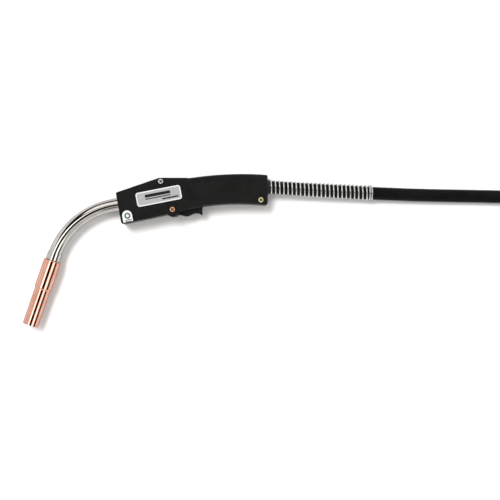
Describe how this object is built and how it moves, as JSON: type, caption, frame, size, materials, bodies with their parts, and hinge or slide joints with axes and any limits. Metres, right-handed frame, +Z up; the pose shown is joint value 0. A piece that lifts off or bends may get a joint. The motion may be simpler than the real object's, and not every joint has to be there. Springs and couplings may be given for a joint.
{
  "type": "mig welding torch",
  "caption": "Gas-cooled MIG welding torch: bent neck, copper nozzle, trigger handle, spring relief and coiled power cable.",
  "frame": {"origin": "on the resting surface, under the centre of the torch's own box (nozzle tip to the end of the spring relief), free cable not counted", "axes": "+Z up from the surface the torch lies on; +X from the nozzle end to the cable end; +Y towards the handle's back, with the trigger on the -Y side"},
  "size_m": [0.915, 0.2603, 0.046],
  "materials": {
    "nozzle_copper": "polished copper tube with faint drawing lines",
    "tip_copper": "machined copper",
    "brass_parts": "machined brass",
    "neck_nickel": "polished nickel plate with faint long reflections",
    "insulating_resin": "moulded phenolic",
    "insulation_sleeve": "woven glass sleeve",
    "liner_steel": "coiled steel wire",
    "handle_plastic": "fine satin moulded texture",
    "trigger_plastic": "satin moulded",
    "silver_screw": "bright zinc",
    "copper_screw": "copper-coloured plate",
    "gold_screw": "yellow zinc",
    "nut_steel": "zinc plated",
    "label_silver": "satin silver foil with a white rim",
    "label_white": "white film label",
    "spring_chrome": "bright plated wire",
    "spring_steel": "spring wire",
    "switch_plastic": "moulded",
    "plunger_red": "moulded",
    "lead_insulation": "thin insulation",
    "cable_rubber": "matte black sheath with faint streaks",
    "cable_strands": "stranded copper under a clear wrap",
    "tie_webbing": "hook and loop strap",
    "boot_rubber": "moulded rubber",
    "connector_plastic": "fine spark-eroded texture",
    "nut_plastic": "ribbed moulding",
    "screw_steel": "zinc plated",
    "seal_rubber": "O-ring"
  },
  "bodies": {
    "torch": {"nozzle_insulator": "insulating_resin", "gas_diffuser": "brass_parts", "contact_tip": "tip_copper", "neck_end_collar": "neck_nickel", "neck_tube": "neck_nickel", "neck_insulation": "insulation_sleeve", "neck_conductor": "tip_copper", "wire_liner": "liner_steel", "neck_block": "brass_parts", "neck_set_screw": "nut_steel", "cable_ferrule": "tip_copper", "cable_core": "cable_strands", "cable_front_end": "cable_rubber", "handle_shell_left": "handle_plastic", "handle_shell_right": "handle_plastic", "handle_screw_top": "silver_screw", "handle_screw_middle": "copper_screw", "handle_screw_rear": "gold_screw", "handle_nuts": "nut_steel", "side_label": "label_silver", "front_label": "label_white", "trigger_bush": "brass_parts", "trigger_return_spring": "spring_steel", "microswitch_body": "switch_plastic", "switch_terminals": "brass_parts", "trigger_leads": "lead_insulation", "spring_collar": "connector_plastic", "strain_relief_spring": "spring_chrome", "power_cable": "cable_rubber", "cable_coil": "cable_rubber", "coil_ties": "tie_webbing", "cable_tail": "cable_rubber", "rear_boot": "boot_rubber", "connector_shell_upper": "connector_plastic", "connector_shell_lower": "connector_plastic", "connector_screws": "screw_steel", "rear_ferrule": "tip_copper", "adaptor_body": "brass_parts", "adaptor_insulator": "insulating_resin", "plug_seal": "seal_rubber", "wire_inlet_nut": "brass_parts"},
    "nozzle": {"nozzle_shell": "nozzle_copper"},
    "trigger": {"trigger_lever": "trigger_plastic"},
    "plunger": {"switch_plunger": "plunger_red"},
    "lock_nut": {"locking_nut": "nut_plastic"},
    "pin_a": {"contact_pin_a": "brass_parts"},
    "pin_b": {"contact_pin_b": "brass_parts"}
  },
  "joints": [
    {"name": "nozzle_pull", "type": "slide", "parent": "torch", "child": "nozzle", "axis": [-0.3272, -0.9449, 0], "range_m": [0, 0.09]},
    {"name": "trigger_pivot", "type": "hinge", "parent": "torch", "child": "trigger", "pos_m": [-0.03065, 0.04987, 0.0165], "axis": [0, 0, 1], "range_deg": [0, 5], "stiffness_Nm_per_rad": 0.7, "springref_deg": -5.73, "deforming": ["trigger_return_spring"]},
    {"name": "switch_press", "type": "slide", "parent": "torch", "child": "plunger", "axis": [0, 1, 0], "range_m": [0, 0.0021]},
    {"name": "nut_spin", "type": "hinge", "parent": "torch", "child": "lock_nut", "pos_m": [0.674, 0.0636, 0.023], "axis": [1, 0, 0], "continuous": true},
    {"name": "pin_a_press", "type": "slide", "parent": "torch", "child": "pin_a", "axis": [-1, 0, 0], "range_m": [0, 0.003], "stiffness_N_per_m": 300, "springref_m": -0.001},
    {"name": "pin_b_press", "type": "slide", "parent": "torch", "child": "pin_b", "axis": [-1, 0, 0], "range_m": [0, 0.003], "stiffness_N_per_m": 300, "springref_m": -0.001}
  ],
  "couplings": [
    {"joint": "switch_press", "follows": "trigger_pivot", "m_per_rad": 0.022}
  ]
}
